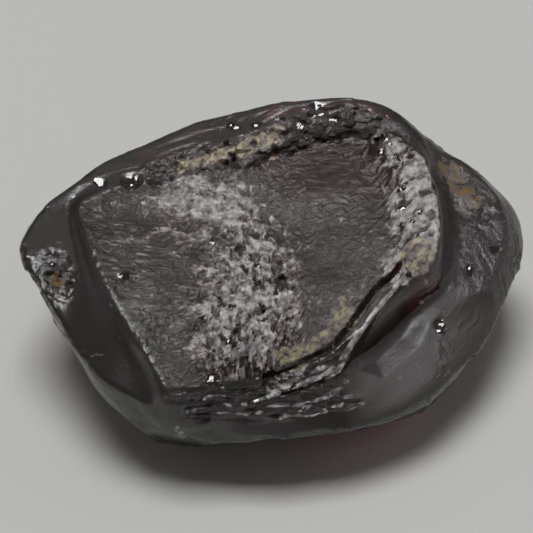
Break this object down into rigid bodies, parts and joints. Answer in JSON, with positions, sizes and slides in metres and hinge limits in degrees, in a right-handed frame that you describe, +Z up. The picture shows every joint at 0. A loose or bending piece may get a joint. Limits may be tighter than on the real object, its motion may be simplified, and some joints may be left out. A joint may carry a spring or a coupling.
{
  "type": "garnet crystal",
  "caption": "Broken, worn piece of dark red almandine garnet with a dished fracture face on top, lying on its flattest side.",
  "frame": {"origin": "on the ground below the middle of the stone's outline", "axes": "+X along the stone's length from the pointed end to the knob, +Y to the back where the top face is highest, +Z up as it lies"},
  "size_m": [0.0134, 0.011, 0.0055],
  "materials": {
    "garnet": "see-through very dark wine red, glassy on clean breaks and frosty grey on the rough fracture face, with small yellow-brown clay stains"
  },
  "bodies": {
    "root": {"garnet_crystal": "garnet"}
  },
  "joints": []
}
